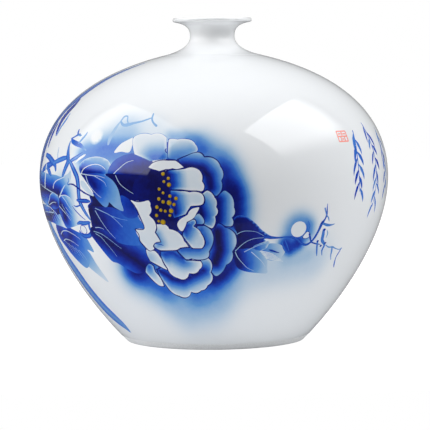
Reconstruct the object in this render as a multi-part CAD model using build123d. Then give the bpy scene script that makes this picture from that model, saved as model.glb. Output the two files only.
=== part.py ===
from build123d import *
import os

# A round-bellied porcelain vase with a narrow flared neck, built as the sections that a potter
# makes and lutes together: a foot ring, a lower body with its floor, an upper body, and a neck
# with its rim, with a thin ring of slip in each joint. Every piece is turned about Z.
# Sizes are in millimetres. The origin is the centre of the circle it stands on, and +Z is up.

# Outside sizes
HEIGHT = 240.0
BELLY_RADIUS = 130.0
BELLY_HEIGHT = 121.7
FOOT_RADIUS = 68.0
MOUTH_RADIUS = 29.5
THROAT_RADIUS = 16.5
THROAT_HEIGHT = 226.5

# Wall thicknesses
FLOOR = 6.5
FOOT_WALL = 5.5
BELLY_WALL = 4.2
SHOULDER_WALL = 3.6
RIM = 3.0
FLOOR_FILLET = 9.0

# The foot ring: its height is also the depth of the recess under the floor
FOOT_HEIGHT = 4.5
FOOT_WIDTH = 7.0
FOOT_BEVEL = 1.4

# The straight bore of the throat
BORE_RADIUS = 13.4
BORE_LOW = 219.0
BORE_HIGH = 230.0

# The joints: the slip's thickness, and the bead of it that stays inside the wall
SLIP = 0.6
SLIP_BEAD = 1.4
SHOULDER_RADIUS = 36.0
SHOULDER_HEIGHT = 212.3

# Directions, in degrees, and handle lengths of the curves that shape the wall and neck
FOOT_SLOPE = 46.0
FOOT_HANDLE = 39.0
BELLY_HANDLE_DOWN = 43.5
BELLY_HANDLE_UP = 48.5
SHOULDER_SLOPE = 166.5
SHOULDER_HANDLE = 57.0
NECK_ROOT_HANDLE = 13.0
THROAT_HANDLE = 6.5
RIM_SLOPE = 10.0
RIM_HANDLE = 8.5


def polar(length, degrees):
    """A step of that length at that angle above the radius."""
    return Vector(length, 0).rotate(Axis.Z, degrees)


def lower_wall(inset_foot, inset_belly):
    """The wall's curve from foot to belly, moved inwards by one thickness at each end."""
    start = Vector(FOOT_RADIUS, FOOT_BEVEL) + polar(inset_foot, FOOT_SLOPE + 90)
    end = Vector(BELLY_RADIUS - inset_belly, BELLY_HEIGHT)
    handle = end - Vector(0, BELLY_HANDLE_DOWN)
    return Bezier(start, start + polar(FOOT_HANDLE, FOOT_SLOPE), handle, end)


def upper_wall(inset_belly, inset_shoulder):
    """The wall's curve from belly to shoulder, moved inwards by one thickness at each end."""
    start = Vector(BELLY_RADIUS - inset_belly, BELLY_HEIGHT)
    end = Vector(SHOULDER_RADIUS, SHOULDER_HEIGHT) + polar(inset_shoulder, SHOULDER_SLOPE + 90)
    handle = start + Vector(0, BELLY_HANDLE_UP)
    return Bezier(start, handle, end - polar(SHOULDER_HANDLE, SHOULDER_SLOPE), end)


def neck_wall(root, throat):
    """The hollow curve from the shoulder up to the throat, where it stands upright."""
    handle = root + polar(NECK_ROOT_HANDLE, SHOULDER_SLOPE)
    return Bezier(root, handle, throat - Vector(0, THROAT_HANDLE), throat)


def strip(low, high):
    """Everything in the outline's plane between two heights."""
    return Pos(0, (low + high) / 2) * Rectangle(3 * BELLY_RADIUS, high - low)


def turned(outline):
    """The solid that an outline makes when it is turned about Z."""
    return revolve(Plane.XZ * outline, Axis.Z)


# The outside: up the wall, round the neck's hollow curve, and over the rolled rim to the axis
outer_lower = lower_wall(0, 0)
outer_upper = upper_wall(0, 0)
throat = Vector(THROAT_RADIUS, THROAT_HEIGHT)
outer_neck = neck_wall(outer_upper @ 1, throat)
rim_centre = Vector(MOUTH_RADIUS - RIM / 2, HEIGHT - RIM / 2)
rim_under = rim_centre + polar(RIM / 2, RIM_SLOPE - 90)
rim_top = rim_centre + Vector(0, RIM / 2)
flare_handle = rim_under - polar(RIM_HANDLE, RIM_SLOPE)
under_rim = Bezier(throat, throat + Vector(0, THROAT_HANDLE), flare_handle, rim_under)
rim_edge = ThreePointArc(rim_under, rim_centre + Vector(RIM / 2, 0), rim_top)
ground_radius = FOOT_RADIUS - FOOT_BEVEL
top_and_axis = Polyline(rim_top, (0, HEIGHT), (0, 0), (ground_radius, 0), outer_lower @ 0)
outside = make_face([outer_lower, outer_upper, outer_neck, under_rim, rim_edge, top_and_axis])

# The hollow: the same wall moved inwards, then the straight bore, then the flare of the mouth
inner_lower = lower_wall(FOOT_WALL, BELLY_WALL)
inner_upper = upper_wall(BELLY_WALL, SHOULDER_WALL)
bore_low = Vector(BORE_RADIUS, BORE_LOW)
bore_high = Vector(BORE_RADIUS, BORE_HIGH)
inner_neck = neck_wall(inner_upper @ 1, bore_low)
mouth_handle = rim_top - Vector(RIM_HANDLE, 0)
mouth = Bezier(bore_high, bore_high + Vector(0, THROAT_HANDLE), mouth_handle, rim_top)
above_and_axis = Polyline(rim_top, (0, HEIGHT), (0, 0), inner_lower @ 0)
inside = [inner_lower, inner_upper, inner_neck, Line(bore_low, bore_high), mouth, above_and_axis]
floor_top = FOOT_HEIGHT + SLIP + FLOOR
hollow = make_face(inside) & strip(floor_top, HEIGHT)
floor_corner = hollow.vertices().filter_by(lambda v: v.Y < floor_top + 0.1 and v.X > 1)
hollow = fillet(floor_corner, FLOOR_FILLET)

# The clay in section, with the recess that the foot ring stands round
recess_depth = FOOT_HEIGHT + SLIP
recess = Pos(0, recess_depth / 2) * Rectangle(2 * (FOOT_RADIUS - FOOT_WIDTH), recess_depth)
clay = outside - hollow - recess

# The joints: level ones over the foot and at the belly, and one square to the shoulder
foot_joint = strip(FOOT_HEIGHT, FOOT_HEIGHT + SLIP)
belly_joint = strip(BELLY_HEIGHT - SLIP / 2, BELLY_HEIGHT + SLIP / 2)
shoulder = Location((SHOULDER_RADIUS, SHOULDER_HEIGHT), (0, 0, SHOULDER_SLOPE + 90))
shoulder_joint = shoulder * Rectangle(4 * SHOULDER_WALL, SLIP)
sections = (clay - foot_joint - belly_joint - shoulder_joint).faces().sort_by(Axis.Y)
foot_section, lower_section, upper_section, neck_section = sections


def slip(joint, inner_edge=None):
    """The slip in a joint, with the bead that was pressed out where a finger couldn't wipe it."""
    filling = clay & joint
    if inner_edge is not None:
        bead = Pos(inner_edge.X, inner_edge.Y) * Circle(SLIP_BEAD)
        filling = filling + (bead & hollow)
    return filling


os.makedirs("parts", exist_ok=True)
outlines = {
    "foot_ring": foot_section,
    "foot_slip": slip(foot_joint),
    "lower_body": lower_section,
    "belly_slip": slip(belly_joint, inner_lower @ 1),
    "upper_body": upper_section,
    "shoulder_slip": slip(shoulder_joint, inner_upper @ 1),
    "neck": neck_section,
}
for name, outline in outlines.items():
    export_step(turned(outline), f"parts/{name}.step")
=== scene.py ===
import math

import bmesh
import bpy
import numpy as np
from mathutils import Matrix, Vector
from mathutils.geometry import delaunay_2d_cdt


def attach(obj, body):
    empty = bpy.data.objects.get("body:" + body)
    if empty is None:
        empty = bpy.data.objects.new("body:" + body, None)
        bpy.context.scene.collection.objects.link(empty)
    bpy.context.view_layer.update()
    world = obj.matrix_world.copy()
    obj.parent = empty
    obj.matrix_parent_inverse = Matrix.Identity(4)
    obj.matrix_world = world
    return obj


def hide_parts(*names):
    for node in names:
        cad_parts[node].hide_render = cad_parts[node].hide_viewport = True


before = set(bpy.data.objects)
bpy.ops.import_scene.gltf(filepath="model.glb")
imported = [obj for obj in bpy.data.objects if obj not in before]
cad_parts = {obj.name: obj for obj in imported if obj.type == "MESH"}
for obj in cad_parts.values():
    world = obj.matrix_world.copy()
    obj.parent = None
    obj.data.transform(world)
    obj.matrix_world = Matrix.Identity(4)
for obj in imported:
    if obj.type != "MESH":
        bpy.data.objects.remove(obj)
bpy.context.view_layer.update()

MM = 0.001


# ---------------------------------------------------------------------------------------------
# The view. A long lens at the height of the shoulder looks a little down at the painted front,
# which faces -Y. The camera leans by half a degree, so the vase seems to lean to the left.
def placed(name, data):
    """A new object, linked into the scene."""
    made = bpy.data.objects.new(name, data)
    bpy.context.scene.collection.objects.link(made)
    return made


eye_distance = 1508.5 * MM
eye_height = 198.7 * MM
look_at = Vector((0.6 * MM, 0, 92.8 * MM))
eye_lean = Matrix.Rotation(math.radians(-0.62), 3, "Z").to_quaternion()

camera = placed("camera", bpy.data.cameras.new("camera"))
camera.data.lens = 168.7
camera.data.sensor_width = 36
camera.location = (0, -eye_distance, eye_height)
facing = (look_at - camera.location).to_track_quat("-Z", "Y")
camera.rotation_euler = (facing @ eye_lean).to_euler()
bpy.context.scene.camera = camera
bpy.context.scene.view_settings.view_transform = "Standard"


# ---------------------------------------------------------------------------------------------
# The studio. A white table and a white wall stand behind the vase, and the room in front is dim.
# Two large soft boxes, high to the left and right, show in the glaze as pale veils.
def feed(tree, node, inputs):
    """Each input is given a value, or the socket of another node that feeds it."""
    for label, value in inputs.items():
        if isinstance(value, bpy.types.NodeSocket):
            tree.links.new(value, node.inputs[label])
        else:
            node.inputs[label].default_value = value


def add(tree, kind, inputs=None, **options):
    """The outputs of a new node, made with its options and inputs."""
    node = tree.nodes.new(kind)
    for option, choice in options.items():
        setattr(node, option, choice)
    feed(tree, node, inputs or {})
    return node.outputs


def material(name, inputs):
    finish = bpy.data.materials.new(name)
    finish.use_nodes = True
    surface = finish.node_tree.nodes["Principled BSDF"]
    feed(finish.node_tree, surface, inputs)
    return finish, finish.node_tree, surface


def smooth_range(tree, value, start, stop, low, high):
    """Goes smoothly from low to high while the value goes from start to stop."""
    inputs = {"Value": value, "From Min": start, "From Max": stop, "To Min": low, "To Max": high}
    return add(tree, "ShaderNodeMapRange", inputs, interpolation_type="SMOOTHSTEP")["Result"]


def flat_sheet(name, left, front, right, back, finish):
    mesh = bpy.data.meshes.new(name)
    verts = [(left, front, 0), (right, front, 0), (right, back, 0), (left, back, 0)]
    mesh.from_pydata(verts, [], [(0, 1, 2, 3)])
    mesh.materials.append(finish)
    return placed(name, mesh)


box_aim = Vector((0, 0, 0.13))
box_distance = 1.3


def soft_box(name, azimuth, elevation, width, height, glow, fade_low, fade_side):
    """A glowing sheet that fades towards its lower edge and towards its outer side."""
    half_w, half_h = width / 2, height / 2
    finish, tree = material(name, {})[:2]
    tree.nodes.clear()
    place = add(tree, "ShaderNodeTexCoord")["Object"]
    split = add(tree, "ShaderNodeSeparateXYZ", {"Vector": place})
    low = smooth_range(tree, split["Y"], -half_h, fade_low - half_h, 0, glow)
    outer = math.copysign(half_w, azimuth)
    side = smooth_range(tree, split["X"], outer, outer - math.copysign(fade_side, outer), 0, 1)
    strength = add(tree, "ShaderNodeMath", {0: low, 1: side}, operation="MULTIPLY")
    emit = add(tree, "ShaderNodeEmission", {"Strength": strength[0]})
    add(tree, "ShaderNodeOutputMaterial", {"Surface": emit[0]})
    sheet = flat_sheet(name, -half_w, -half_h, half_w, half_h, finish)
    across, up = math.radians(azimuth), math.radians(elevation)
    out = Vector((math.sin(across) * math.cos(up), -math.cos(across) * math.cos(up), math.sin(up)))
    sheet.location = box_aim + out * box_distance
    sheet.rotation_euler = out.to_track_quat("Z", "Y").to_euler()
    sheet.visible_camera = False


soft_box("box_left", -75, 34, 1.9, 1.41, 2.5, 0.12, 0.35)
soft_box("box_right", 79, 41, 1.65, 1.1, 4.1, 0.5, 0.5)

# The room has one brightness for the light it gives and another for how it shows in the glaze.
surround = bpy.data.worlds.new("surround")
surround.use_nodes = True
tree = surround.node_tree
seen = add(tree, "ShaderNodeLightPath")
direction = add(tree, "ShaderNodeTexCoord")["Generated"]
up = add(tree, "ShaderNodeSeparateXYZ", {"Vector": direction})["Z"]
lit = smooth_range(tree, up, -0.2, 1, 0.21, 0.49)
mirrored = smooth_range(tree, up, -0.08, 1, 0.13, 0.70)
strength = add(tree, "ShaderNodeMix", {"Factor": seen["Is Glossy Ray"], "A": lit, "B": mirrored})["Result"]
room = add(tree, "ShaderNodeBackground", {"Color": (0.98, 0.99, 1, 1), "Strength": strength})
paper = add(tree, "ShaderNodeBackground", {"Color": (1, 1, 1, 1), "Strength": 1})
either = add(tree, "ShaderNodeMixShader", {0: seen["Is Camera Ray"], 1: room[0], 2: paper[0]})
feed(tree, tree.nodes["World Output"], {"Surface": either[0]})
bpy.context.scene.world = surround

# The table is dull and lights the vase from below, is dim in the glaze and is bright in view.
finish, tree, dull = material("white_table", {"Base Color": (0.88, 0.885, 0.89, 1), "Roughness": 0.9,
                                              "Specular IOR Level": 0, "Emission Color": (0.97, 0.985, 1, 1),
                                              "Emission Strength": 0.12})
seen = add(tree, "ShaderNodeLightPath")
dim = add(tree, "ShaderNodeBsdfPrincipled", {"Base Color": (0.22, 0.22, 0.23, 1), "Specular IOR Level": 0})
bright = add(tree, "ShaderNodeBsdfPrincipled", {"Base Color": (0.24, 0.24, 0.24, 1), "Specular IOR Level": 0,
                                                "Emission Color": (1, 1, 1, 1), "Emission Strength": 0.94})
in_glaze = add(tree, "ShaderNodeMixShader", {0: seen["Is Glossy Ray"], 1: dull.outputs[0], 2: dim[0]})
either = add(tree, "ShaderNodeMixShader", {0: seen["Is Camera Ray"], 1: in_glaze[0], 2: bright[0]})
feed(tree, tree.nodes["Material Output"], {"Surface": either[0]})
flat_sheet("table", -2.5, -0.26, 2.5, 3, finish)


# ---------------------------------------------------------------------------------------------
# The turned clay wall. One outline in section, in millimetres of radius and height, gives the
# outside and the inside of the vase. It repeats the outline that the clay sections are cut from.
GLAZE = 0.15
FOOT_JOINT = 4.8
BELLY_JOINT = 121.7
SHOULDER = np.array((36.0, 212.3))
SHOULDER_SLOPE = 166.5
SHOULDER_WALL = 3.6
BELLY_WALL = 4.2


def heading(degrees, length=1.0):
    turn = math.radians(degrees)
    return np.array((math.cos(turn), math.sin(turn))) * length


def bezier(a, b, c, d, count):
    t = np.linspace(0, 1, count)[:, None]
    a, b, c, d = (np.array(p, float) for p in (a, b, c, d))
    return (1 - t) ** 3 * a + 3 * (1 - t) ** 2 * t * b + 3 * (1 - t) * t ** 2 * c + t ** 3 * d


def bowl(foot, belly, count):
    return bezier(foot, foot + heading(46, 39), belly - (0, 43.5), belly, count)


def dome(belly, shoulder, count):
    return bezier(belly, belly + (0, 48.5), shoulder - heading(SHOULDER_SLOPE, 57), shoulder, count)


def joined(*runs):
    return np.vstack([runs[0]] + [run[1:] for run in runs[1:]])


def left_of(along):
    """The unit direction to the left of each direction."""
    along = along / (np.linalg.norm(along, axis=1)[:, None] + 1e-9)
    return np.stack((-along[:, 1], along[:, 0]), 1)


foot_edge = np.array((68.0, 1.4))
belly_edge = np.array((130.0, BELLY_JOINT))
shoulder_inside = SHOULDER + heading(SHOULDER_SLOPE + 90, SHOULDER_WALL)
belly_inside = belly_edge - (BELLY_WALL, 0)
outer_lower = bowl(foot_edge, belly_edge, 400)
outer_wall = joined(outer_lower, dome(belly_edge, SHOULDER, 400))
inner_lower = bowl(foot_edge + heading(136, 5.5), belly_inside, 60)
inner_upper = dome(belly_inside, shoulder_inside, 40)

# Along the wall, s is the length of the outline from the foot. The glaze lies outside the clay.
wall_s = np.concatenate(([0], np.cumsum(np.linalg.norm(np.diff(outer_wall, axis=0), axis=1))))
wall_out = -left_of(np.gradient(outer_wall, wall_s, axis=0))
glazed_wall = outer_wall + GLAZE * wall_out

# The painting is laid out flat: u is mm round the belly, and v is mm along the wall.
ROUND = 130 * math.pi / 180


def s_at(height):
    """Length along the wall at a height in mm."""
    return float(np.interp(height, outer_wall[:, 1], wall_s))


def flat(degrees, height):
    return np.array((degrees * ROUND, s_at(height)))


def turned_normals(turn, place, places):
    """Outward directions of the wall at turns round it, with places measured on the given scale."""
    out_r = np.interp(place, places, wall_out[:, 0])
    out_z = np.interp(place, places, wall_out[:, 1])
    return np.stack((out_r * np.sin(turn), -out_r * np.cos(turn), out_z), -1)


def on_wall(u, v):
    """Points and normals of the glazed wall, in metres, from places on the flat layout."""
    turn = np.asarray(u) / ROUND * math.pi / 180
    radius = np.interp(v, wall_s, glazed_wall[:, 0])
    height = np.interp(v, wall_s, glazed_wall[:, 1])
    points = np.stack((radius * np.sin(turn), -radius * np.cos(turn), height), -1) * MM
    return points, turned_normals(turn, v, wall_s)


# ---------------------------------------------------------------------------------------------
# How the painter works. Outlines are marks of (degrees round from the front, mm up), joined by
# smooth lines. A third number makes the run to the next mark a round lobe, as deep as that share
# of its chord. Each shape has a wash of cobalt that is thickest at its root.
BRUSH_STEP = 1.25
painted = []
guides = []


def arc(a, b, lobe):
    along = b - a
    chord = np.linalg.norm(along)
    if abs(lobe) < 0.01:
        count = max(1, round(chord / BRUSH_STEP))
        return [a + along * i / count for i in range(count)]
    half = 2 * math.atan(2 * abs(lobe))
    radius = chord / (2 * math.sin(half))
    count = max(3, round(2 * half * radius / BRUSH_STEP))
    side = np.array((along[1], -along[0])) / chord * (1 if lobe > 0 else -1)
    run = []
    for i in range(count):
        angle = -half + 2 * half * i / count
        share = 0.5 + radius * math.sin(angle) / chord
        run.append(a + along * share + side * radius * (math.cos(angle) - math.cos(half)))
    return run


def smooth_run(before, a, b, after):
    count = max(2, round(np.linalg.norm(b - a) / BRUSH_STEP))
    leave = (b - before) / 2
    arrive = (after - a) / 2
    run = []
    for t in (i / count for i in range(count)):
        run.append((2 * t ** 3 - 3 * t ** 2 + 1) * a + (t ** 3 - 2 * t ** 2 + t) * leave
                   + (3 * t ** 2 - 2 * t ** 3) * b + (t ** 3 - t ** 2) * arrive)
    return run


def area(points):
    x, y = points[:, 0], points[:, 1]
    return 0.5 * float(np.sum(x * np.roll(y, -1) - np.roll(x, -1) * y))


def outline(marks):
    """A closed line through the marks, counter-clockwise on the flat layout."""
    corners = [flat(m[0], m[1]) for m in marks]
    lobes = [m[2] if len(m) > 2 else None for m in marks]
    if area(np.array(corners)) < 0:
        corners = corners[::-1]
        lobes = lobes[-2::-1] + lobes[-1:]
    count = len(corners)
    line = []
    for i in range(count):
        a, b = corners[i], corners[(i + 1) % count]
        if lobes[i] is not None:
            line += arc(a, b, lobes[i])
            continue
        before = corners[i - 1] if lobes[i - 1] is None else a
        after = corners[(i + 2) % count] if lobes[(i + 1) % count] is None else b
        line += smooth_run(before, a, b, after)
    return np.array(line)


def distance_to(path, places):
    """Distance of each place from an open line of points."""
    path = np.atleast_2d(np.array(path, float))
    if len(path) == 1:
        return np.linalg.norm(places - path[0], axis=1)
    best = np.full(len(places), 1e9)
    for a, b in zip(path[:-1], path[1:]):
        along = b - a
        share = np.clip(((places - a) @ along) / max(along @ along, 1e-9), 0, 1)
        best = np.minimum(best, np.linalg.norm(places - a - share[:, None] * along, axis=1))
    return best


def distance_round(line, places):
    return distance_to(np.vstack((line, line[:1])), places)


def drawn_in(line, width):
    """The same closed line moved inwards, without the points that would cross it at a tight corner."""
    width = np.broadcast_to(width, len(line))
    inner = line + left_of(np.roll(line, -1, 0) - np.roll(line, 1, 0)) * width[:, None]
    return inner[distance_round(line, inner) > 0.9 * width]


def eased(x):
    x = np.clip(x, 0, 1)
    return x * x * (3 - 2 * x)


def paint(line, wash):
    """A shape in one tone, or in a wash that gives the tone at each place."""
    painted.append((line, wash if callable(wash) else lambda places: np.full(len(places), wash)))


def washed(root, reach, deep, pale, line=None, rim=0.0):
    """Cobalt that fades from a root, given as marks, over a reach in mm. A rim leaves the edge pale."""
    root_line = [flat(*m) for m in root]

    def wash(places):
        near = np.clip(1 - distance_to(root_line, places) / (1.25 * reach), 0, 1) ** 1.5
        strength = pale + (deep - pale) * near
        if rim > 0:
            edge = distance_round(line, places)
            strength = strength * (1 - 0.8 * np.exp(-(edge / rim) ** 2) * (1 - near) ** 0.5)
        return strength

    return wash


def petal(marks, root, reach, deep=0.8, pale=0.04, pen=1.0, rim=1.3, ink=0.88):
    """A petal with a fine dark pen line round it and a wash inside."""
    line = outline(marks)
    paint(line, ink)
    wave = np.arange(len(line)) * 0.37
    inner = drawn_in(line, pen * (0.8 + 0.3 * np.sin(wave) * np.sin(0.31 * wave + 1)))
    if len(inner) > 3 and area(inner) > 0.2 * area(line):
        paint(inner, washed(root, reach, deep, pale, inner, rim))


def leaf(marks, root, reach, deep, pale, rim=0.0):
    line = outline(marks)
    paint(line, washed(root, reach, deep, pale, line, rim))


def stroke(path, tone, core=None):
    """A brush stroke along marks of (degrees, mm up, width). Its core may be paler than its edges."""
    marks = [flat(m[0], m[1]) for m in path]
    widths = [m[2] for m in path]
    last = len(marks) - 1
    middle = []
    spread = []
    for i in range(last):
        run = smooth_run(marks[max(i - 1, 0)], marks[i], marks[i + 1], marks[min(i + 2, last)])
        middle += run
        spread += [widths[i] + (widths[i + 1] - widths[i]) * j / len(run) for j in range(len(run))]
    middle = np.array(middle + [marks[-1]])
    half = np.array(spread + [widths[-1]])[:, None] / 2
    side = left_of(np.gradient(middle, axis=0))
    along = np.stack((side[:, 1], -side[:, 0]), 1)
    tip = [middle[0] - along[0] * half[0] * 0.8]
    end = [middle[-1] + along[-1] * half[-1] * 0.8]
    line = np.vstack((tip, middle - side * half, end, (middle + side * half)[::-1]))
    if core is None:
        paint(line, tone)
        return
    guides.append(middle)
    reach = float(half.mean()) + 1e-6
    paint(line, lambda places: core + (tone - core) * eased(distance_to(middle, places) / reach))


def vein(path, width, tone):
    """A thin line left pale, which narrows to less than half."""
    last = len(path) - 1
    stroke([(m[0], m[1], 0.58 * width * (1 - 0.6 * i / last)) for i, m in enumerate(path)], 0.50 * tone)


def oval(middle, wide, tall, count):
    turns = np.linspace(0, 2 * math.pi, count, False)
    return [(middle[0] + wide * math.cos(a), middle[1] + tall * math.sin(a)) for a in turns]


def bud(marks, ink, pen, tone):
    line = outline(marks)
    paint(line, ink)
    paint(drawn_in(line, pen), tone)


def moved(marks, about, to, size):
    """Marks carried round the vase and mirrored: about and to are (degrees, mm up)."""
    return [(to[0] - (m[0] - about[0]) * size, to[1] + (m[1] - about[1]) * size, *m[2:]) for m in marks]


# ---------------------------------------------------------------------------------------------
# The airbrushed ground. Cobalt is blown on round the flower and fades into the white, with a
# paler veil below and to the right, a dark cloud under the moon and a haze over the left leaves.
sprays = []


def spray(path, core, fade, strength):
    sprays.append(([flat(*m) for m in path], core, fade, strength))


spray([(5.2, 117), (6.2, 112), (6.6, 105), (6.4, 98)], 0.3, 9.5, 0.88)
spray([(3, 131), (4.2, 125), (5, 119)], 0.2, 9, 0.6)
spray([(-3.8, 147), (-1, 143.2), (1.6, 139.6), (3, 133)], 0.2, 11, 0.37)
spray([(-13.5, 155), (-9, 155), (-5.8, 152.6), (-3.8, 147)], 0.2, 5.5, 0.26)
spray([(7.2, 70), (5.2, 64), (2.4, 59), (0, 56)], 0.6, 7.5, 0.78)
spray([(1, 58), (-2.6, 50), (-7, 46.4)], 0.2, 12, 0.42)
spray([(-19.5, 49), (-23, 53), (-29, 60)], 0.4, 12, 0.48)
spray([(-30, 61), (-25, 68)], 2.5, 9, 0.7)
spray([(-32, 53), (-20, 41), (-10, 37), (3, 43)], 3, 14, 0.12)
spray([(-12, 30), (-2, 33)], 5, 16, 0.1)
spray([(10, 58), (22, 63), (37, 66)], 3, 15, 0.105)
spray([(26, 68), (34, 71)], 1, 6, 0.07)
spray([(28.1, 90)], 5.5, 7.5, 0.36)
spray([(31.8, 92), (32.2, 87)], 0.2, 5, 0.22)
spray([(24, 80), (26.2, 76.4), (28.6, 79.4)], 1.2, 4.4, 0.66)
spray([(-45, 142), (-36, 145), (-27, 145)], 3, 7.5, 0.42)
spray([(-37, 152), (-30, 157)], 3, 9, 0.13)
spray([(-31, 163), (-20, 160)], 3, 9, 0.06)
spray([(-57, 119), (-53, 113)], 3, 7, 0.18)


def ground(places):
    clear = np.ones(len(places))
    for path, core, fade, strength in sprays:
        off = distance_to(path, places)
        clear *= 1 - strength * np.exp(-(np.maximum(off - core, 0) / fade) ** 2)
    return 1 - clear


# ---------------------------------------------------------------------------------------------
# The leaves and branches on the left, painted before the flower. Each leaf is a navy wash that
# thins to bright blue at its tip, with its veins left pale, and the stems are tapered strokes.

# The long stem that falls to the foot, and the soft leaves above it.
stroke([(-80, 96, 2), (-87, 84, 9), (-95, 68, 12), (-103, 50, 8), (-108, 38, 1)], 0.6, 0.38)
stroke([(-76, 102, 3), (-75, 90, 11), (-73, 78, 15), (-71.4, 66, 18), (-68.6, 54, 20), (-66.8, 44, 20),
    (-65, 36, 20), (-62.5, 28, 20), (-58.5, 21, 16), (-55.4, 16, 11), (-54, 11.4, 4)], 0.5, 0.36)
leaf([(-60, 77), (-54, 77.6), (-49.6, 73.6), (-47.8, 64), (-45.6, 51), (-50.5, 56.6), (-56, 64.6),
    (-61, 72)], [(-59, 78), (-54, 78)], 25, 0.6, 0.1)
leaf([(-67, 90.6), (-62, 90.2), (-57, 90.2), (-52.5, 87.6), (-48.6, 85.2), (-47, 79), (-46.5, 73),
    (-49.6, 74.4), (-50.4, 70), (-52, 64), (-56, 60), (-61, 66), (-65, 74), (-68, 81)],
    [(-65, 86), (-61, 78), (-57, 84)], 22, 0.86, 0.3)
vein([(-65, 83.8), (-62.4, 86.4), (-59, 87), (-56, 85.6), (-53.2, 83.4), (-51.8, 81.6)], 1.3, 0.22)
vein([(-64.6, 79), (-62, 80.6), (-58, 79.6), (-54.5, 76.6)], 1.3, 0.26)
for i in range(5):
    start = (-63.4 + 2.0 * i, 79.0 - 1.4 * i)
    vein([start, (start[0] + 1.6, start[1] - 3), (start[0] + 2.8, start[1] - 7.5)], 0.9, 0.4)

# The dark leaves behind the left edge, with pale veins from each base.
leaf([(-96, 121), (-86, 127), (-78, 129), (-70, 128), (-66, 127.5), (-61, 127.4), (-57.4, 126.4),
    (-54.7, 127.4), (-52.6, 129.3), (-51.6, 131.4), (-51, 127), (-51.7, 123.8), (-52.8, 121.8),
    (-54.8, 120.6), (-57, 116.5), (-59, 111.4), (-61, 104), (-68, 103), (-78, 107), (-88, 114)],
    [(-84, 116), (-70, 116), (-59, 114)], 15, 1, 0.14)
vein([(-60, 112.6), (-68, 116), (-78, 118.6), (-90, 119.8)], 1.5, 0.3)
vein([(-62.9, 117.6), (-62.2, 120.6), (-60.2, 123.3), (-57.4, 124.9), (-54.7, 126.6)], 1.6, 0.1)
leaf([(-68, 104), (-60, 110), (-57, 104), (-57.6, 96), (-60, 91), (-68, 92)], [(-61, 102)], 14, 0.98, 0.6)
leaf([(-94, 96), (-84, 102.6), (-76, 104.4), (-70, 104.2), (-67, 103), (-64.5, 101.2), (-62.9, 98.2),
    (-60.6, 99), (-59.8, 94), (-58.6, 90), (-58.3, 88.9), (-62, 90), (-66, 90.6), (-70, 91.6), (-82, 92.4)],
    [(-86, 96), (-72, 94.6), (-66.4, 100)], 14, 1, 0.08)
vein([(-66, 99.6), (-74, 99), (-82, 98), (-90, 96.6)], 1.3, 0.34)
for i in range(4):
    start = (-70.4 + 2.2 * i, 102.4 - 0.9 * i)
    vein([start, (start[0] + 1.6, start[1] - 4), (start[0] + 2.6, start[1] - 9)], 0.9, 0.34)
leaf([(-70, 106), (-67.6, 109), (-66.3, 112.2), (-63.5, 114.2), (-61.6, 113.7), (-59.6, 111.4),
    (-58.9, 107.9), (-60, 104.5), (-63, 102.5), (-68.5, 103.2)], [(-69, 105), (-64.6, 107.6), (-61.4, 106)],
    8, 1, 0.2)
vein([(-69.6, 105.8), (-67.6, 109), (-66.2, 112.2), (-63.5, 114.2), (-61.5, 113.6), (-59.8, 111.6)], 1.3,
    0.26)
vein([(-68.5, 104.8), (-65.8, 106.6), (-63.6, 107.4), (-61.8, 107.2)], 1.3, 0.24)
vein([(-72.2, 103.8), (-69, 103.4), (-66, 101.4), (-63.6, 98.8), (-61.8, 95.2)], 1.4, 0.2)
leaf([(-59, 111.6), (-56.8, 115.2), (-54.6, 120.6), (-52.8, 121.8), (-51, 121.4), (-49.2, 119.4),
    (-47.6, 115.6), (-46.6, 110.6), (-46.4, 107), (-49.3, 105.8), (-51, 110.8), (-54, 112.6),
    (-57.5, 112.6)], [(-58.8, 113), (-55.4, 113.4)], 12, 0.78, 0.03)
vein([(-59, 111.5), (-57.2, 114.8), (-55.6, 118.4), (-54.4, 120.6)], 1.5, 0.2)
leaf([(-59, 111.5), (-57.5, 112.6), (-54.5, 113.2), (-51.8, 111), (-50.2, 106), (-49, 103), (-47, 98.5),
    (-45.2, 95.5), (-48.5, 93.5), (-52, 91.4), (-58.3, 89.4), (-59.6, 96), (-60.6, 102), (-59.5, 107)],
    [(-59.4, 107), (-57, 102), (-57.4, 96)], 15, 1, 0.03)
vein([(-59, 111.4), (-57.4, 112.8), (-54.6, 113.3), (-52.2, 111.8)], 1.5, 0.16)
vein([(-56.8, 112.2), (-55, 109.2), (-53.6, 105.6), (-51.8, 102.4)], 1.3, 0.28)
vein([(-59.8, 105), (-57.6, 101.8), (-55.8, 99), (-54, 95.2)], 1.4, 0.24)
vein([(-57.8, 106.6), (-56.4, 102.4), (-54.6, 98.6), (-53.2, 96)], 0.9, 0.44)
vein([(-55.6, 104.8), (-53.4, 100.6), (-51.6, 97.4)], 0.8, 0.4)
stroke([(-51.4, 105.8, 0.4), (-50.2, 103, 0.9), (-48.2, 99.6, 0.9), (-46, 96.6, 0.5)], 0.66)
stroke([(-52.8, 126, 0.5), (-52.4, 123.4, 0.9), (-53.2, 121.6, 1.4), (-52, 120.9, 0.7)], 0.42)

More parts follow.
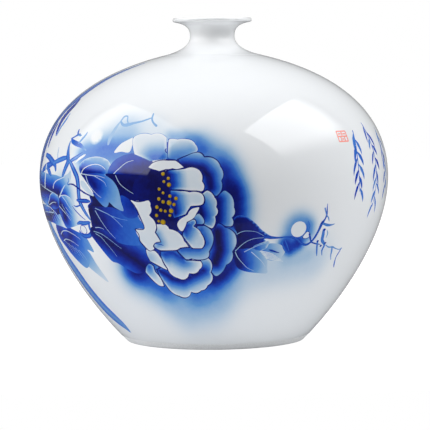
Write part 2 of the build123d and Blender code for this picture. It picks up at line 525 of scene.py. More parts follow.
# Broad pale bands round the upper joint of the branch.
stroke([(-75, 129, 3), (-70.5, 132.4, 5), (-66.6, 134.2, 5), (-63.2, 135.8, 3)], 0.66, 0.46)
stroke([(-69.4, 133, 2.4), (-66.6, 129.6, 4.4), (-64.4, 126.8, 2)], 0.6, 0.42)
leaf([(-70.4, 134), (-69.6, 134.6), (-69.8, 127), (-70.6, 118), (-71.4, 117)], [(-70, 128)], 9, 0.08, 0.08)
stroke([(-72.5, 141, 3), (-68, 139.4, 4.6), (-64.4, 136.6, 5), (-62, 134.6, 4), (-61, 130.5, 2.5)], 0.62,
    0.44)
stroke([(-63.4, 135.6, 2.8), (-60, 137.6, 4), (-57, 139.2, 4), (-54, 140.4, 2.5)], 0.54, 0.4)
stroke([(-60.4, 138.4, 0.6), (-61.2, 142.5, 1), (-61.6, 147, 0.5)], 0.34)

# The branch itself: a pale blue core between darker sides, with short broken ends.
stroke([(-54.9, 151.8, 1), (-54.9, 148, 2.4), (-54.4, 143, 3.8), (-53.6, 137.6, 4.6), (-54.6, 133, 4.2),
    (-55.6, 129, 3.4), (-56.4, 126.4, 1.4)], 0.66, 0.36)
stroke([(-53.4, 136.6, 2), (-51.4, 138.6, 3), (-49.2, 140.6, 3.2), (-47, 143, 2.6), (-46.2, 144, 0.8)],
    0.62, 0.36)
stroke([(-52.8, 138, 2), (-51.4, 135.4, 3.4), (-49.4, 130.6, 4.2), (-48, 126.5, 4.4), (-47.4, 120.5, 4.2),
    (-47.4, 115, 3.8), (-47.2, 109.6, 3.8), (-46, 104.4, 3.2), (-44.8, 100.4, 2.6), (-43.4, 96.6, 1)], 0.74,
    0.34)
stroke([(-49.4, 137, 0.8), (-47.8, 139.6, 2), (-45.8, 141.8, 1.8), (-45, 142.8, 0.6)], 0.02)
leaf([(-54.8, 153.4), (-52, 152.4), (-48.6, 150.6), (-46.4, 148), (-45, 145.4), (-48.6, 147.4),
    (-51.6, 148.6), (-54, 150.6)], [(-53.6, 152), (-49, 149)], 10, 0.6, 0.2)
stroke([(-54.9, 153.4, 1.4), (-53.4, 154.6, 1.2), (-51.8, 156.2, 1.6), (-50.6, 156.8, 1)], 0.52)
stroke([(-52.4, 159.8, 1.4), (-52.2, 157.8, 2), (-51.8, 156.4, 1.2)], 0.54)
stroke([(-51.6, 156.2, 1), (-50.2, 155.8, 1.6), (-49.6, 156, 0.6)], 0.34)
stroke([(-49.8, 150.6, 1.4), (-48.6, 153.4, 2.2), (-47.4, 156.6, 1.8), (-47.2, 158.4, 0.6)], 0.32)
stroke([(-52.4, 121.6, 0.6), (-50, 121.4, 1.2), (-47.8, 119.4, 1.2), (-44.6, 116, 1.3), (-41, 113.4, 0.7)],
    0.8)
stroke([(-48.6, 110.4, 1.6), (-46.4, 110.2, 3.2), (-43.8, 110.2, 3), (-42.4, 110, 1.4)], 0.76, 0.48)
stroke([(-50.6, 106.4, 0.5), (-49.2, 105.8, 1.1), (-47.2, 107, 1.2)], 0.58)
stroke([(-50.8, 93.2, 1.4), (-49, 94.2, 3), (-47, 94, 3.4), (-44.6, 94.8, 2.4), (-43.8, 95, 1)], 0.62, 0.42)
stroke([(-44.6, 94.6, 1.8), (-44.8, 91, 2.4), (-44.4, 88, 3), (-46, 85.2, 3.6), (-48.6, 84.6, 3.4),
    (-50.4, 86.4, 2.4), (-50.4, 88.4, 1)], 0.7, 0.48)
bud([(-49.9, 89.4), (-48.8, 92.6), (-47, 91.6), (-46.5, 88.2), (-47.8, 85.8), (-49.4, 86.6)], 0.66, 0.6,
    0.02)

# The dark hollow between the leaves, then the two long leaves that run under the flower.
leaf([(-42.4, 113.6), (-40.8, 116), (-39, 114), (-36, 112), (-30, 112), (-30, 104), (-36, 103.6),
    (-42.8, 104.6), (-43.6, 107), (-42, 110)], [(-40, 108)], 30, 1, 0.98, 0.48)
leaf([(-43.2, 106), (-38.4, 106.6), (-33.6, 106.4), (-29.8, 104.8), (-27.2, 112.9), (-25.6, 108), (-24, 99),
    (-22.6, 92.2), (-25.9, 91.5), (-25, 84), (-24.2, 78.4), (-28, 77), (-33.2, 78.4), (-37.2, 84.6),
    (-40.2, 90), (-43.2, 90.4), (-43.4, 98)], [(-42.6, 104), (-41, 95)], 30, 1, 0.5)
vein([(-40.6, 103.6), (-39.6, 99.6), (-38.2, 94.4), (-36.4, 88.8), (-34.4, 84.2)], 1.1, 0.42)
vein([(-40.4, 105.4), (-37.2, 103), (-34.6, 100.6), (-32.2, 96.4), (-30.6, 92.6)], 1.1, 0.5)
vein([(-34.2, 100.4), (-31.4, 98.6), (-28.4, 97.6)], 0.8, 0.62)
leaf([(-43.8, 91.8), (-40.6, 92), (-38.8, 91.2), (-36.4, 86.6), (-34.6, 83), (-32.4, 80.6), (-28, 79.6),
    (-24.4, 79.6), (-22.8, 75), (-22.8, 68), (-24.6, 62), (-29, 59), (-33, 62), (-36.4, 65.8), (-38.8, 67),
    (-40.6, 71.4), (-42.4, 77), (-44.2, 82.6), (-45.2, 86.6)],
    [(-43.6, 90), (-37, 80), (-29, 70), (-25.6, 64)], 17, 1, 0.44)
vein([(-43.2, 88.6), (-40.2, 87.2), (-37.4, 83.8), (-35.2, 80.4), (-33, 77)], 1, 0.5)
vein([(-42.6, 87), (-40.4, 84.4), (-38.6, 79.4), (-37, 75), (-36, 71)], 1, 0.5)
vein([(-42, 91.4), (-39.9, 91.6), (-38.4, 90.4)], 1, 0.3)

# The leaf in the haze, the navy leaf that meets the flower's heart, and the pale-tipped leaf.
leaf([(-46.6, 130), (-47.2, 135.4), (-44.4, 139.8), (-39.6, 141.6), (-35.2, 139.4), (-33.6, 134.4),
    (-34.2, 129.6), (-39, 128.4), (-44, 128)], [(-46, 131), (-38, 128.6)], 9, 0.92, 0.24, 0.48)
leaf([(-34.6, 129), (-33.8, 136), (-31.2, 141), (-27, 144), (-21.6, 143.6), (-19.2, 139.6), (-19.6, 133),
    (-22, 128.8), (-30, 128.2)], [(-21, 134), (-28, 130)], 14, 0.9, 0.56)
vein([(-33.6, 127.2), (-31.9, 131), (-30.2, 134.2), (-28, 137.8), (-25.6, 139.4)], 1.3, 0.22)
leaf([(-35.6, 129.4), (-31, 129.8), (-26, 129.4), (-20.4, 131), (-17, 124), (-19.6, 113.4), (-24.6, 111.4),
    (-27.2, 112.6), (-30.2, 114.2), (-31.6, 122)], [(-32, 124), (-20, 121)], 18, 1, 0.84)
leaf([(-30.2, 114.6), (-27.1, 112.7), (-25.4, 107.6), (-24.4, 101), (-27.4, 99), (-30.4, 103.4)],
    [(-26.6, 108)], 12, 0.8, 0.6)
vein([(-31.7, 128.9), (-30.6, 124.6), (-29.4, 121.8), (-27.2, 118.6), (-25, 115.8)], 1.1, 0.36)
leaf([(-46, 129.3), (-41.6, 130), (-37.4, 129.8), (-35.2, 128.4), (-32.6, 125), (-31, 120.4),
    (-30.3, 115.6), (-29.9, 110), (-29.4, 104.2), (-32.2, 106.2), (-33.8, 109), (-34.5, 110),
    (-34.9, 107.9), (-35.9, 106.4), (-37.2, 107.6), (-38.8, 110.8), (-40.2, 114.4), (-41.2, 118.2),
    (-43, 122.4), (-44.8, 126.4)], [(-45.4, 128.6), (-41, 124), (-39.6, 120.5)], 17, 0.9, 0.27)
vein([(-46.2, 129.4), (-43.2, 128.7), (-40.2, 128.3), (-38, 128), (-35.8, 126.8)], 1.1, 0.22)
vein([(-40.2, 128.2), (-37.4, 125.6), (-35.8, 123.6), (-35.2, 121)], 0.9, 0.3)
vein([(-43.8, 128.2), (-42.8, 123.2), (-41.2, 119.2), (-39.2, 115.4), (-37.4, 113)], 1.1, 0.28)
vein([(-46.1, 129), (-45.1, 132.6), (-42.6, 135.2), (-39.8, 136.2), (-37.4, 135.2), (-35.8, 132.9)], 1.2,
    0.05)
leaf([(-46.2, 124.2), (-44.6, 124), (-42.8, 120.2), (-40.4, 114.6), (-41.6, 114.2), (-44.4, 118),
    (-46, 121)], [(-44, 119)], 20, 0.1, 0.1)


# The vine over the left shoulder, and the narrow dark leaves that hang from it.
def blade(path, tone, core):
    """A long narrow leaf with a pale rib that stops short of both ends."""
    stroke(path, tone, core)
    vein(path[1:-1], 1.5, 0.7 * core)


blade([(-80, 150, 3), (-86, 138, 11), (-93, 122, 13), (-99, 106, 9), (-103, 92, 1)], 0.66, 0.44)
blade([(-75, 176, 4), (-78, 164, 13), (-79, 150, 16), (-79, 138, 13), (-80, 126, 8), (-82, 114, 1)], 0.74,
    0.46)
blade([(-63, 207.5, 1), (-68, 202, 11), (-71.5, 196, 16), (-73, 190, 18), (-74.5, 184, 18), (-77, 177, 17),
    (-80, 168, 14), (-84, 157, 8), (-89, 146, 1)], 0.62, 0.42)
stroke([(-70.5, 181, 3), (-70, 176, 10), (-70.8, 170, 10), (-70.2, 163, 7), (-68, 155, 1.6)], 0.9, 0.62)
stroke([(-66.8, 171, 1.2), (-66.4, 166, 4), (-67.2, 161, 3.4), (-67.2, 155, 0.8)], 0.46, 0.34)
stroke([(-74, 164, 2), (-73.5, 158, 6), (-73, 152, 5), (-72.6, 146, 1.2)], 0.8, 0.6)


# The pale disc and the faint twig in the haze.
def cleared(middle, clear, fade):
    """The airbrushed ground, wiped white round a middle."""
    return lambda places: ground(places) * eased((distance_to([flat(*middle)], places) - clear) / fade)


disc = (-42, 155.2)
paint(outline(oval(disc, 3.2, 5.6, 12)), cleared(disc, 4.2, 2.6))
stroke([(-33.8, 166.2, 1.2), (-32.2, 163.6, 2.2), (-30.4, 163.6, 3), (-28, 164.8, 1.9), (-25.2, 166, 1.5),
    (-22, 168.2, 1.2)], 0.28)
stroke([(-33.6, 166, 1.4), (-33, 169, 1.8), (-31.6, 169.4, 1.2), (-31, 166.4, 1.2), (-30.3, 164.8, 1)],
    0.26)
stroke([(-21.6, 171.2, 1.4), (-21.6, 167.8, 1.6), (-20.8, 165.2, 1.4), (-19.3, 162.8, 1.9)], 0.28)
stroke([(-33.8, 165.6, 1), (-34.8, 161, 2.8), (-35.8, 155, 3.4), (-36, 150, 1.6)], 0.22)
leaf([(-33, 144.6), (-31.2, 150.2), (-28.6, 153.4), (-26.6, 155), (-26.6, 151), (-27.4, 145),
    (-30.4, 145.2)], [(-30, 150)], 20, 0, 0)


# ---------------------------------------------------------------------------------------------
# The right leaf, the thin twig that grows from it, the white moon and its buds.
leaf([(6, 78), (7.2, 88), (5.6, 95), (6.9, 100.8), (10, 100.3), (13.1, 95.4), (15.1, 91), (17.6, 87.2),
    (19.4, 84.9), (16.4, 83.9), (17.8, 81.4), (14.6, 79.2), (12.4, 76.6), (9, 74.8)], [(6.6, 96), (8, 80)],
    22, 1, 0.72, 0.3)
leaf([(15, 78.6), (18.6, 80.8), (22.4, 79.4), (24.4, 75), (23.4, 70.4), (20, 68.2), (17, 71)],
    [(15.6, 77), (16.6, 73)], 14, 0.5, 0.13)
leaf([(6.2, 76.6), (9.6, 77.4), (12.6, 77.6), (15, 76.4), (17.4, 73.6), (18.4, 68.6), (18.8, 63.2),
    (19, 59), (14.4, 59.7), (10.8, 61), (8.2, 63.4), (6.8, 68.6)], [(6.8, 75), (8.2, 66)], 20, 0.98, 0.16)
leaf([(12.8, 78.8), (15.2, 81.2), (18, 82.6), (17.4, 77.4), (14.6, 75.4)], [(12.4, 76)], 14, 0.8, 0.18,
    0.12)
vein([(7, 87.8), (9, 89.9), (11.2, 90.1), (13.6, 89.2), (16.2, 86.2)], 1, 0.5)
vein([(6.9, 76), (9.3, 81), (11.5, 83.7), (13.6, 84.8), (16.6, 85)], 1.1, 0.46)
vein([(9.9, 75.2), (12.4, 77.8), (14.8, 79.8), (18.4, 81.6)], 1.1, 0.36)
vein([(6.9, 75.2), (7.9, 71.2), (9.8, 66.8), (11.6, 63.4), (14.2, 61)], 1.1, 0.4)
vein([(12.4, 75), (14.4, 71.5), (16.6, 67.6), (18, 63.8)], 1.1, 0.24)
for i in range(6):
    start = (15.4 + 0.5 * i, 75.4 - 1.1 * i)
    vein([start, (start[0] + 2.6, start[1] - 1), (start[0] + 5.0 + 0.3 * i, start[1] - 2.6)], 1.5, 0.09)
stroke([(18.3, 76.2, 0.5), (19.4, 75.6, 1.6), (21, 74.4, 1.2), (22.4, 73.6, 0.4)], 0.72)


def twig(path, tone):
    """A thin stroke with a brighter middle."""
    stroke([(m[0], m[1], 1.35 * m[2]) for m in path], 0.88 * tone, 0.70 * tone)


twig([(16.4, 85.4, 1.4), (18.4, 85, 1.8), (21, 84.6, 1), (24, 84.9, 0.8), (26.4, 84.3, 1.4),
    (28.2, 82.8, 1.8), (30.2, 79.6, 1.2), (32.2, 78.5, 1.4), (33.8, 80.2, 1.2), (35.1, 83.6, 1.4),
    (36.1, 88.5, 1.5), (36.8, 92.8, 2), (37.9, 96.3, 1), (38.3, 99.5, 1.1), (38.1, 103.6, 0.8),
    (38.1, 107, 0.3)], 0.8)
paint(outline(oval((28.1, 90), 2.78, 5.6, 14)), 0.02)
bud([(30, 83.6), (30.6, 86.4), (31.6, 88.2), (32.8, 86.8), (33, 84.4), (31.6, 82.8)], 0.82, 0.45, 0.04)
twig([(31.6, 88.4, 1.4), (31.8, 92, 1.6), (31.2, 95.6, 0.5)], 0.62)
twig([(32.4, 86.4, 0.8), (33.2, 83.4, 1.2), (34.1, 80.2, 0.8), (36.4, 78.6, 0.8), (38.2, 78, 0.4)], 0.84)
twig([(22.6, 82, 0.5), (23.6, 77.4, 1.2), (25, 73.6, 0.8)], 0.7)
twig([(23.4, 83.6, 0.4), (24.6, 79.4, 0.9), (25.9, 74.6, 0.6)], 0.74)
twig([(36.6, 80.8, 1.3), (37, 76.4, 1.2), (37.7, 72, 1), (38.2, 69.6, 0.4)], 0.62)
twig([(38.2, 88.6, 1.6), (38.4, 84.6, 2.2), (38.6, 80.8, 2), (40.2, 77.4, 1.4), (39.8, 73.6, 1.1),
    (40.6, 69.6, 0.4)], 0.6)
twig([(39.6, 88.2, 0.3), (40.3, 85.6, 0.8), (40.1, 82.6, 0.4)], 0.4)
twig([(37.2, 93.2, 1.2), (39.4, 91.7, 1.6), (41.2, 91.6, 0.9), (42.6, 92.2, 0.3)], 0.56)
twig([(38.4, 98.8, 0.6), (39.4, 96.4, 0.8), (39.8, 94.4, 0.3)], 0.5)
twig([(37.2, 104, 0.9), (37.7, 101.4, 0.7), (38.2, 99, 0.4)], 0.58)
twig([(40.8, 77.2, 0.5), (42.6, 75.4, 0.8), (44.6, 75.2, 1), (46.2, 74, 0.6), (48.6, 72.8, 0.5),
    (49.9, 73.6, 0.9)], 0.44)
twig([(44.2, 75.6, 0.8), (44.8, 72.6, 1.4), (45.2, 69, 0.9), (46.2, 65.4, 0.3)], 0.52)
twig([(49.6, 72.8, 0.8), (49, 69.6, 1), (48.6, 66.6, 0.8), (49.2, 62, 1.2), (50, 59.4, 0.4)], 0.7)
for degrees, height, size in ((36.9, 93.7, 1.5), (38.5, 88.4, 1.4), (38.6, 76.8, 1.2), (40.4, 78.6, 1),
        (36.7, 80.4, 1)):
    twig([(degrees - 0.2, height, size), (degrees + 0.25, height + 0.2, size)], 0.92)


# ---------------------------------------------------------------------------------------------
# The peony. Petals are laid from the back to the heart, each with white scalloped edges and a
# blue root. The heart is a pool of navy that the stamens stand in.
def peony(place):
    def lay(marks, root, *rest, **more):
        petal(place(marks), place(root), *rest, **more)

    # blue under the whole flower, so no bare clay shows between petals
    under = outline(place([(-16, 150), (-14.5, 152), (-7, 150), (-3, 140), (1.2, 136), (1.4, 118),
        (4.6, 108), (4, 95), (5, 80), (2.6, 66), (-1.6, 60), (-4, 50), (-14, 45), (-17.5, 52), (-20, 62),
        (-21, 76), (-17, 92), (-14, 110), (-14, 130), (-15, 142)]))
    paint(under, 0.72)

    # outer petals at the top and right
    lay([(-15, 155, 0), (-14.7, 146.6, 0), (-14.2, 140.6, 0), (-20, 139, 0), (-25.5, 143.5, 0.05),
        (-27, 155, 0.14), (-20.6, 157.2, 0.16)], [(-15.5, 141), (-19, 140.5)], 12, 0.62, 0.05, 0.4,
        ink=0.4)
    lay([(-14.6, 154.2, 0.05), (-11.5, 153.9, 0.06), (-8.2, 154.2, 0.14), (-5.5, 150.2, 0.12),
        (-4.8, 145.2, 0), (-11.4, 139.4, 0), (-14.4, 140.6, 0)], [(-14, 140), (-7, 142)], 11, 0.54, 0.08,
        0.5, ink=0.6)
    lay([(-11.4, 140.2, 0.02), (-8.2, 143.2, 0.04), (-4.9, 145.3, 0.16), (-2.7, 142.3, 0.1),
        (0.5, 140.7, 0.1), (2.3, 135.4, 0.16), (2.5, 125.4, 0.22), (0.8, 114.4, 0), (-4, 117, 0),
        (-9, 133, 0)], [(-9.4, 135.4), (-3.6, 134), (-1.6, 129), (-1, 121)], 10.5, 1, 0.12, rim=0)
    lay([(0.8, 114.4, 0.04), (3.1, 119.8, 0.15), (6.5, 107.1, 0.2), (5.7, 99.7, 0.2), (5.5, 92.8, 0),
        (3.4, 93.4, 0), (0.4, 97, 0), (-0.4, 106, 0)], [(1.2, 112), (1.2, 98)], 10.5, 0.98, 0.09, rim=0)
    lay([(0.8, 96.8, 0.12), (3.4, 93.3, 0.1), (7, 88.4, 0.14), (6.2, 75.7, 0.2), (4.2, 65.8, 0.16),
        (0.1, 57.2, 0), (-2, 62, 0), (-2.4, 80, 0)], [(1, 90), (1.6, 77), (0.2, 68)], 12, 1.12, 0.08, rim=0)

    # lower and left outer petals
    lay([(-23.1, 67.6, 0), (-21.7, 65.3, 0), (-21.5, 61, 0), (-20.7, 58.6, 0.05), (-19.4, 49.8, 0.14),
        (-22.6, 51.4, 0.06), (-26, 60.2, 0.12)], [(-24, 65)], 11, 0.62, 0.08)
    lay([(-2, 71.6, 0.2), (-1.3, 60.8, 0.24), (-2.5, 50.5, 0.16), (-5.2, 46.8, 0.2), (-9.2, 45.8, 0.26),
        (-14.4, 42.3, 0.12), (-18.9, 50.2, 0), (-20.8, 58.6, 0), (-21.4, 63, 0), (-16, 66, 0), (-6, 72, 0)],
        [(-20.4, 62), (-18, 59.4), (-15.6, 55.6), (-12, 54.4), (-4, 62)], 9.5, 0.9, 0.13, rim=0.8)
    lay([(-23.6, 78, 0), (-20.2, 77, 0.08), (-18.6, 71.6, 0.12), (-16.7, 64, 0.05), (-17, 61.8, 0.02),
        (-20.6, 65.1, 0.02), (-23, 68.2, 0.08)], [(-23.4, 70)], 8, 0.32, 0.06)
    lay([(-18.6, 76.4, 0), (-12.6, 76.6, 0), (-9.6, 70, 0), (-4.8, 69.6, 0.26), (-5.2, 62.8, 0.22),
        (-9, 59.4, 0.26), (-13.6, 55.8, 0.14), (-17.2, 63.4, 0.06), (-18.6, 71.2, 0.04)],
        [(-18.2, 74.6), (-14, 75.4), (-10.6, 71)], 11, 0.78, 0.06)

    # right inner petals
    lay([(-2.3, 120, 0.12), (0.4, 114.4, 0.16), (0.9, 107.4, 0.22), (0.5, 100.6, 0.18), (-0.7, 91.4, 0),
        (-3, 94.4, 0), (-6, 98, 0), (-6, 108, 0), (-4.4, 116, 0)], [(-4.6, 107.4), (-3.8, 101)], 9.5, 1,
        0.18, rim=0.6)
    lay([(-0.9, 91.8, 0.14), (-1.5, 75.7, 0.16), (-2.4, 70.6, 0.1), (-7.9, 70.5, 0.08), (-10, 70, 0.03),
        (-12.9, 76.6, 0), (-10, 80, 0), (-6, 92, 0), (-5.6, 95, 0), (-3, 95, 0.06)],
        [(-11, 77.6), (-5, 77.6), (-2.6, 82), (-4.2, 92)], 7, 0.6, 0.17, rim=0)
    lay([(-4.9, 104, 0.1), (-2.9, 98.2, 0.12), (-3.3, 94.9, 0), (-6.4, 94.6, 0), (-7, 99.6, 0)],
        [(-5.8, 96.6)], 6, 0.66, 0.18, rim=0)
    lay([(-6.3, 99.8, 0.14), (-5.4, 96.4, 0.14), (-6.3, 94.2, 0.1), (-4, 89, 0.06), (-2.8, 83.2, 0.14),
        (-4.1, 77.7, 0), (-7.6, 77.8, 0), (-10.6, 88, 0), (-9.4, 94.4, 0), (-8.4, 97.4, 0)],
        [(-9.8, 90.4), (-8.8, 95)], 9.5, 0.84, 0.11, rim=0.6)

    # the navy heart, then the petals that stand round it
    heart = outline(place([(-20.8, 133.8), (-16.8, 132), (-11.4, 133.4), (-11, 126), (-11.6, 116),
        (-11.2, 106), (-11, 97), (-10.8, 91.4), (-13.6, 91.4), (-15.4, 94.6), (-18.4, 95.4), (-20.6, 101),
        (-20, 108), (-20.4, 113), (-24, 112), (-25.6, 118), (-24.6, 126)]))
    paint(heart, washed(place([(-18, 126), (-16, 103)]), 16, 1.02, 0.9))
    lay([(-14.4, 133, 0), (-8.7, 134.4, 0.12), (-4.1, 133.4, 0.16), (-3.3, 125.3, 0.2), (-3.4, 117.3, 0),
        (-5.2, 118.2, 0), (-10.2, 118.7, 0), (-13.6, 118.6, 0)], [(-13.8, 131), (-13.2, 119)], 11, 0.97,
        0.05)
    lay([(-13.6, 119.8, 0), (-10.2, 119.1, 0.06), (-7.4, 118.4, 0.1), (-3.5, 116.9, 0.14),
        (-2.7, 110.6, 0.14), (-3.9, 108, 0), (-7, 107.6, 0), (-8.6, 102, 0), (-12.8, 99, 0), (-14, 108, 0)],
        [(-13.2, 116), (-12.2, 102)], 10.5, 0.96, 0.09)
    lay([(-4.2, 107.8, 0.04), (-6.8, 106.8, 0.1), (-8.3, 102.2, 0), (-9.8, 100.4, 0.08),
        (-11.6, 96.8, 0.12), (-11.7, 93.6, 0.08), (-10.3, 89.6, 0.04), (-9.1, 93.2, 0.04),
        (-8.4, 96.8, 0.05), (-6.2, 99.8, 0.04), (-5.4, 102.8, 0.04)], [(-9, 99)], 20, 0.02, 0.02, 0.5)
    lay([(-18.5, 96, 0.06), (-15.2, 95.6, 0.1), (-14.2, 92.4, 0.08), (-11.2, 89.9, 0.08),
        (-9.7, 83.8, 0.05), (-8, 78.6, 0), (-11.3, 78, 0.05), (-12.8, 76.5, 0.03), (-18.4, 76.3, 0.06),
        (-20.6, 79, 0), (-21, 88, 0)], [(-18.6, 88), (-17.6, 82), (-19.8, 79)], 5.5, 0.36, 0.05)
    lay([(-27, 112.5), (-24.4, 111.3), (-21.9, 112.2), (-20.6, 113.2, 0.18), (-19.6, 108, 0.2),
        (-20.3, 101.5, 0.12), (-18.3, 92.6, 0.06), (-18.9, 89.5, 0.04), (-17.5, 82.4), (-19.4, 81.6),
        (-20.4, 79.3), (-20, 77.6), (-22, 75.7), (-23.7, 78), (-25.3, 83), (-25.2, 87.4), (-26.2, 91.8),
        (-22.9, 92.3), (-24.3, 101.5), (-25.2, 106.8)], [(-24, 84)], 26, 0.05, 0.03)
    lay([(-20.9, 134.2, 0.06), (-19.2, 138.1, 0.06), (-14, 140.2, 0.03), (-11.6, 140, 0.02),
        (-8.6, 134.4, 0.02), (-11, 133, 0.06), (-12.6, 133.6, 0.04), (-14.7, 132.8, 0.02),
        (-16.8, 131.2, 0), (-18.8, 132.7, 0)], [(-14, 136)], 20, 0.02, 0.02, 0.95)
    stroke(place([(-15, 147.4, 0.6), (-15.2, 146.2, 1), (-14.7, 144.6, 0.6)]), 0.74)
    stroke(place([(-19.6, 81.5, 0.7), (-18.4, 81.2, 1), (-17, 80.2, 0.5)]), 0.6)
    stroke(place([(-20.5, 79.8, 1.2), (-20.2, 78.4, 1.2)]), 0.9)


peony(lambda marks: marks)


# The far side carries the same flower, smaller and turned the other way, over its own ground.
def far_side(marks):
    return moved(marks, (-12, 100), (-130, 116), 0.82)


spray(far_side([(3, 130), (5.4, 116), (6.4, 98), (6, 80)]), 0.3, 11, 0.62)
spray(far_side([(-6, 146), (0, 138), (3, 130)]), 0.2, 12, 0.4)
spray(far_side([(5.4, 76), (2.4, 62), (-4, 51), (-14.2, 45), (-22.6, 53)]), 0.3, 12, 0.46)
spray(far_side([(-13.5, 154), (-3.8, 147)]), 0.2, 8, 0.4)
spray(far_side([(-24, 70), (-28, 96), (-26, 120)]), 3, 10, 0.9)
for turn, reach in ((0, 24), (-10, 30), (-19, 26)):
    far_leaf = [(-24, 104), (-30, 112 + 0.8 * turn), (-37, 108 + 1.6 * turn), (-44, 94 + 2.0 * turn),
        (-40, 88 + 1.6 * turn), (-33, 90 + turn)]
    leaf(far_side(far_leaf), far_side([(-24, 104), (-30, 102 + turn)]), reach, 1, 0.4)
    vein(far_side([(-25, 103), (-31, 103 + 0.8 * turn), (-37, 99 + 1.5 * turn), (-42, 93.4 + 1.9 * turn)]),
        1.1, 0.4)
peony(far_side)


# ---------------------------------------------------------------------------------------------
# The mark on the right: three hanging sprays of bamboo, each a thin stem with tapered leaves.
# They are plain brush leaves with nothing to read in them.
def bamboo(top, bottom, sway, leaves, seed):
    draw = np.random.default_rng(seed)

    def stem(t):
        across = top[0] + (bottom[0] - top[0]) * t + sway * math.sin(3.2 * t)
        return across, top[1] + (bottom[1] - top[1]) * t

    stroke([(*stem(i / 5), 1.1 - 0.4 * (i / 5)) for i in range(6)], 0.52)
    for i in range(leaves):
        across, up = stem((i + 0.4) / leaves)
        length = 8 + 5 * draw.random()
        lean = (1 if i % 2 else -1) * (1 + 1.8 * draw.random())
        width = 2.2 + 1.2 * draw.random()
        stroke([(across, up, 0.4), (across + lean * 0.6, up - length * 0.35, width),
            (across + lean, up - length * 0.72, width * 0.7), (across + lean * 1.1, up - length, 0.15)],
            0.44 + 0.24 * draw.random())


bamboo((54.5, 157), (53, 114), -1.2, 10, 4)
bamboo((63.5, 162), (63, 102), 1.4, 13, 9)
bamboo((76, 158), (74.5, 114), -1, 9, 21)


# ---------------------------------------------------------------------------------------------
# Finishes that the pieces share. The glaze is clear and thick: it has a faint orange-peel
# ripple and a slow change of tone. The cobalt under it is laid on in uneven brush tones.
WHITE = (0.80, 0.82, 0.84)
# Painted light: a whiter white that brightens the neck and rim, which the rim keeps in shade.
NECK_PAINTED_LIGHT_WHITE = (0.93, 0.94, 0.95)
COBALT = ((0.0, WHITE), (0.15, (0.42, 0.57, 0.73)), (0.31, (0.140, 0.34, 0.66)), (0.50, (0.024, 0.145, 0.60)),
          (0.68, (0.004, 0.042, 0.43)), (0.84, (0.0015, 0.008, 0.20)), (1.0, (0.0015, 0.0015, 0.07)))


def node_group(name, kind, *sockets):
    """A node group, the sockets it is given and its end. A socket is (label, direction, type, value)."""
    group = bpy.data.node_groups.new(name, kind)
    for label, direction, socket_type, value in sockets:
        socket = group.interface.new_socket(label, in_out=direction, socket_type="NodeSocket" + socket_type)
        if value is not None:
            socket.default_value = value
    return group, add(group, "NodeGroupInput"), group.nodes.new("NodeGroupOutput")


glaze_skin, given, end = node_group(
    "glaze_skin", "ShaderNodeTree", ("Ripple Size", "INPUT", "Float", 130.0),
    ("Tone Size", "INPUT", "Float", 14.0), ("Tone Depth", "INPUT", "Float", 0.02),
    ("Height", "OUTPUT", "Float", None), ("Tone", "OUTPUT", "Float", None))
place = add(glaze_skin, "ShaderNodeTexCoord")["Object"]
ripple = add(glaze_skin, "ShaderNodeTexNoise", {"Vector": place, "Scale": given["Ripple Size"], "Detail": 1})
slow = add(glaze_skin, "ShaderNodeTexNoise", {"Vector": place, "Scale": given["Tone Size"], "Detail": 2})
depth = add(glaze_skin, "ShaderNodeMath", {0: slow["Fac"], 1: given["Tone Depth"]}, operation="MULTIPLY")
tone = add(glaze_skin, "ShaderNodeMath", {0: 1, 1: depth[0]}, operation="SUBTRACT")
feed(glaze_skin, end, {"Height": ripple["Fac"], "Tone": tone[0]})


def ramped(tree, value, stops):
    ramp = tree.nodes.new("ShaderNodeValToRGB")
    tree.links.new(value, ramp.inputs["Fac"])
    points = ramp.color_ramp.elements
    while len(points) < len(stops):
        points.new(0.5)
    for point, (place, colour) in zip(points, stops):
        point.position = place
        point.color = (*colour, 1)
    return ramp.outputs["Color"]


def glazed(name, colour, roughness=0.22, coat=1.0):
    """Clear glaze over a colour, which is built in the finish by the given function."""
    finish, tree, surface = material(name, {"Roughness": roughness, "Coat Weight": coat,
                                            "Coat Roughness": 0.03, "Specular IOR Level": 0})
    skin = add(tree, "ShaderNodeGroup", node_tree=glaze_skin)
    bump = add(tree, "ShaderNodeBump", {"Strength": 0.05, "Distance": 0.0004, "Height": skin["Height"]})
    tint = add(tree, "ShaderNodeMix", {"Factor": 1, "A": colour(tree), "B": skin["Tone"]},
               data_type="RGBA", blend_type="MULTIPLY")
    feed(tree, surface, {"Normal": bump["Normal"], "Base Color": tint["Result"]})
    return finish


def cobalt_wash(tree):
    place = add(tree, "ShaderNodeTexCoord")["Object"]
    brush = add(tree, "ShaderNodeTexNoise", {"Vector": place, "Scale": 260, "Detail": 4, "Roughness": 0.6})
    uneven = add(tree, "ShaderNodeMapRange", {"Value": brush["Fac"], "From Min": 0.3, "From Max": 0.7,
                                              "To Min": 0.95, "To Max": 1.04})
    thick = add(tree, "ShaderNodeAttribute", attribute_name="cobalt")["Fac"]
    strength = add(tree, "ShaderNodeMath", {0: thick, 1: uneven["Result"]},
                   operation="MULTIPLY", use_clamp=True)
    return ramped(tree, strength[0], COBALT)


def neck_painted_light(tree):
    """The white of the wall at the shoulder, which grows whiter up the neck as painted light, to brighten the
    neck and rim where the rim shades them.
    """
    place = add(tree, "ShaderNodeTexCoord")["Object"]
    height = add(tree, "ShaderNodeSeparateXYZ", {"Vector": place})["Z"]
    climb = add(tree, "ShaderNodeMapRange", {"Value": height, "From Min": (SHOULDER[1] + 0.5) * MM,
                                             "From Max": (SHOULDER[1] + 11) * MM})
    return ramped(tree, climb["Result"], ((0, WHITE), (1, NECK_PAINTED_LIGHT_WHITE)))


